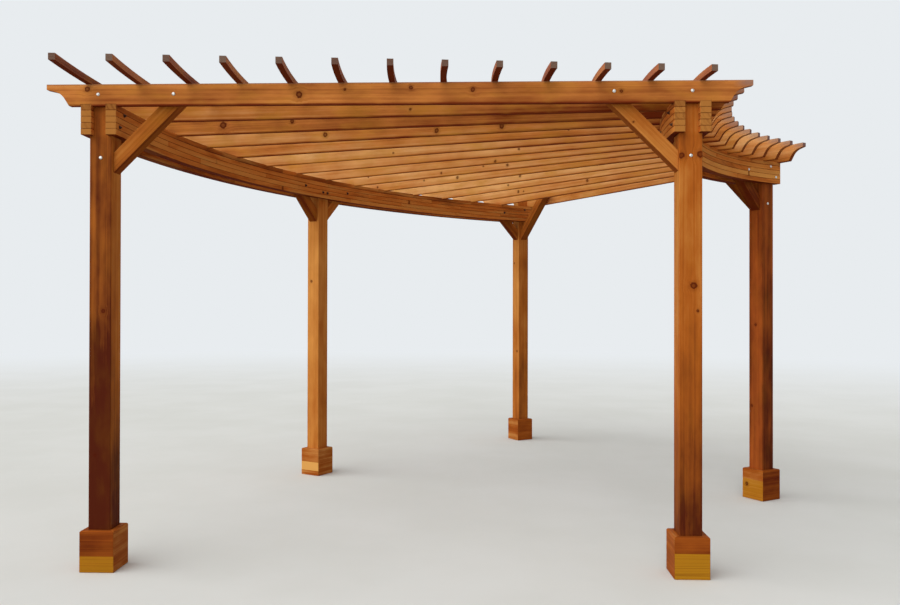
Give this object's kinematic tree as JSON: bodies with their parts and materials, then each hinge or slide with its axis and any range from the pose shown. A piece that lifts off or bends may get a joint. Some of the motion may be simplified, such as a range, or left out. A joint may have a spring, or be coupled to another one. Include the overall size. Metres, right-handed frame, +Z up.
{
  "type": "fan-shaped timber pergola",
  "caption": "Free-standing timber pergola on a fan-shaped plan, with laminated curved beams in pairs, radial rafters with coved ends, knee braces and curved slats on top.",
  "frame": {"origin": "centre of the front left post's foot, on the ground", "axes": "+X runs along the front rafter from the front left post to the front right post, +Y runs to the back of the pergola and +Z is up; the arcs' centre lies on the X axis, past the front right post"},
  "size_m": [5.4538, 6.1807, 3.0656],
  "materials": {
    "post_wood": "clear stained redwood",
    "trim_wood": "clear stained redwood",
    "beam_wood": "clear stained redwood in glued layers",
    "rafter_wood": "clear stained redwood",
    "slat_wood": "clear stained redwood, weathered on top",
    "brace_wood": "clear stained redwood",
    "bolt_steel": "galvanised"
  },
  "bodies": {
    "root": {"front_left_post": "post_wood", "front_right_post": "post_wood", "back_left_post": "post_wood", "back_middle_post": "post_wood", "back_right_post": "post_wood", "front_left_base_trim": "trim_wood", "front_right_base_trim": "trim_wood", "back_left_base_trim": "trim_wood", "back_middle_base_trim": "trim_wood", "back_right_base_trim": "trim_wood", "inner_beam_inside": "beam_wood", "inner_beam_outside": "beam_wood", "outer_beam_inside": "beam_wood", "outer_beam_outside": "beam_wood", "front_rafter": "rafter_wood", "rafter_02": "rafter_wood", "rafter_03": "rafter_wood", "rafter_04": "rafter_wood", "rafter_05": "rafter_wood", "rafter_06": "rafter_wood", "rafter_07": "rafter_wood", "rafter_08": "rafter_wood", "rafter_09": "rafter_wood", "rafter_10": "rafter_wood", "rafter_11": "rafter_wood", "rafter_12": "rafter_wood", "rafter_13": "rafter_wood", "rafter_14": "rafter_wood", "back_rafter": "rafter_wood", "slat_01": "slat_wood", "slat_02": "slat_wood", "slat_03": "slat_wood", "slat_04": "slat_wood", "slat_05": "slat_wood", "slat_06": "slat_wood", "slat_07": "slat_wood", "slat_08": "slat_wood", "slat_09": "slat_wood", "slat_10": "slat_wood", "slat_11": "slat_wood", "slat_12": "slat_wood", "slat_13": "slat_wood", "end_rafter_braces": "brace_wood", "outer_arc_braces": "brace_wood", "inner_arc_braces": "brace_wood"}
  },
  "joints": []
}
